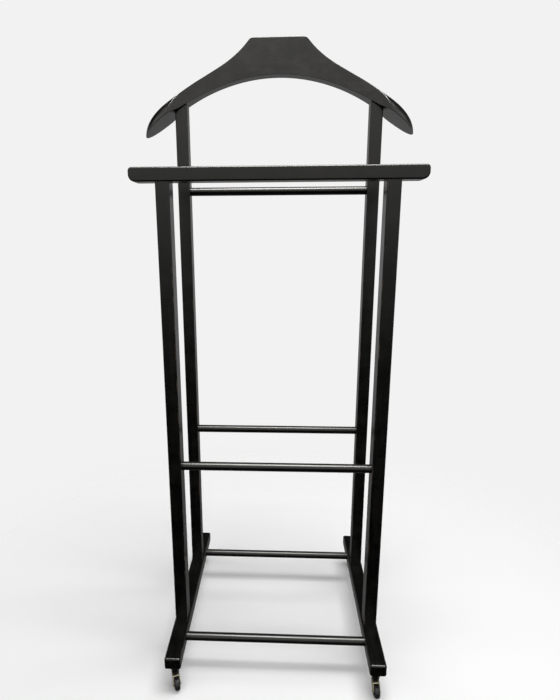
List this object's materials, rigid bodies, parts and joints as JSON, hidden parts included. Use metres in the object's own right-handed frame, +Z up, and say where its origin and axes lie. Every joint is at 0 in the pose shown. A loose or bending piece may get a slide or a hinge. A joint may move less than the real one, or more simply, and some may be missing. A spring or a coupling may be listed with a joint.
{
  "type": "valet stand",
  "caption": "Free-standing valet stand: shaped coat hanger on rear posts, trouser bar on front posts, round rails, two skids on swivel casters.",
  "frame": {"origin": "on the floor under the middle of the two skids", "axes": "+Z up, +Y towards the back where the hanger is, +X to the right seen from the front"},
  "size_m": [0.486, 0.3806, 1.113],
  "materials": {
    "lacquer": "black satin lacquer on beech",
    "wheel_plastic": "satin black",
    "brass_plate": "aged brass plating",
    "steel": "zinc plated",
    "dowel_wood": "bare beech"
  },
  "bodies": {
    "frame": {"bar_dowels": "dowel_wood", "caster_hood_front_left": "lacquer", "caster_hood_front_right": "lacquer", "caster_hood_rear_left": "lacquer", "caster_hood_rear_right": "lacquer", "caster_sleeve_front_left": "steel", "caster_sleeve_front_right": "steel", "caster_sleeve_rear_left": "steel", "caster_sleeve_rear_right": "steel", "front_base_rail": "lacquer", "front_lower_rail": "lacquer", "front_post_left": "lacquer", "front_post_right": "lacquer", "hanger": "lacquer", "hanger_dowels": "dowel_wood", "post_screws": "steel", "rear_base_rail": "lacquer", "rear_lower_rail": "lacquer", "rear_post_left": "lacquer", "rear_post_right": "lacquer", "rear_top_rail": "lacquer", "skid_left": "lacquer", "skid_right": "lacquer", "trouser_bar": "lacquer"},
    "caster_front_left": {"caster_stem_front_left": "steel", "caster_fork_front_left": "brass_plate", "caster_axle_front_left": "steel"},
    "wheel_front_left": {"caster_wheel_front_left": "wheel_plastic"},
    "caster_front_right": {"caster_stem_front_right": "steel", "caster_fork_front_right": "brass_plate", "caster_axle_front_right": "steel"},
    "wheel_front_right": {"caster_wheel_front_right": "wheel_plastic"},
    "caster_rear_left": {"caster_stem_rear_left": "steel", "caster_fork_rear_left": "brass_plate", "caster_axle_rear_left": "steel"},
    "wheel_rear_left": {"caster_wheel_rear_left": "wheel_plastic"},
    "caster_rear_right": {"caster_stem_rear_right": "steel", "caster_fork_rear_right": "brass_plate", "caster_axle_rear_right": "steel"},
    "wheel_rear_right": {"caster_wheel_rear_right": "wheel_plastic"}
  },
  "joints": [
    {"name": "swivel_front_left", "type": "hinge", "parent": "frame", "child": "caster_front_left", "pos_m": [-0.175, -0.17, 0.025], "axis": [0, 0, 1], "continuous": true},
    {"name": "roll_front_left", "type": "hinge", "parent": "caster_front_left", "child": "wheel_front_left", "pos_m": [-0.17148, -0.17828, 0.0115], "axis": [0.9205, 0.3907, 0], "continuous": true},
    {"name": "swivel_front_right", "type": "hinge", "parent": "frame", "child": "caster_front_right", "pos_m": [0.175, -0.17, 0.025], "axis": [0, 0, 1], "continuous": true},
    {"name": "roll_front_right", "type": "hinge", "parent": "caster_front_right", "child": "wheel_front_right", "pos_m": [0.17563, -0.17898, 0.0115], "axis": [0.9976, 0.0698, 0], "continuous": true},
    {"name": "swivel_rear_left", "type": "hinge", "parent": "frame", "child": "caster_rear_left", "pos_m": [-0.175, 0.17, 0.025], "axis": [0, 0, 1], "continuous": true},
    {"name": "roll_rear_left", "type": "hinge", "parent": "caster_rear_left", "child": "wheel_rear_left", "pos_m": [-0.18386, 0.17156, 0.0115], "axis": [-0.1736, -0.9848, 0], "continuous": true},
    {"name": "swivel_rear_right", "type": "hinge", "parent": "frame", "child": "caster_rear_right", "pos_m": [0.175, 0.17, 0.025], "axis": [0, 0, 1], "continuous": true},
    {"name": "roll_rear_right", "type": "hinge", "parent": "caster_rear_right", "child": "wheel_rear_right", "pos_m": [0.1838, 0.17187, 0.0115], "axis": [-0.2079, 0.9781, 0], "continuous": true}
  ]
}
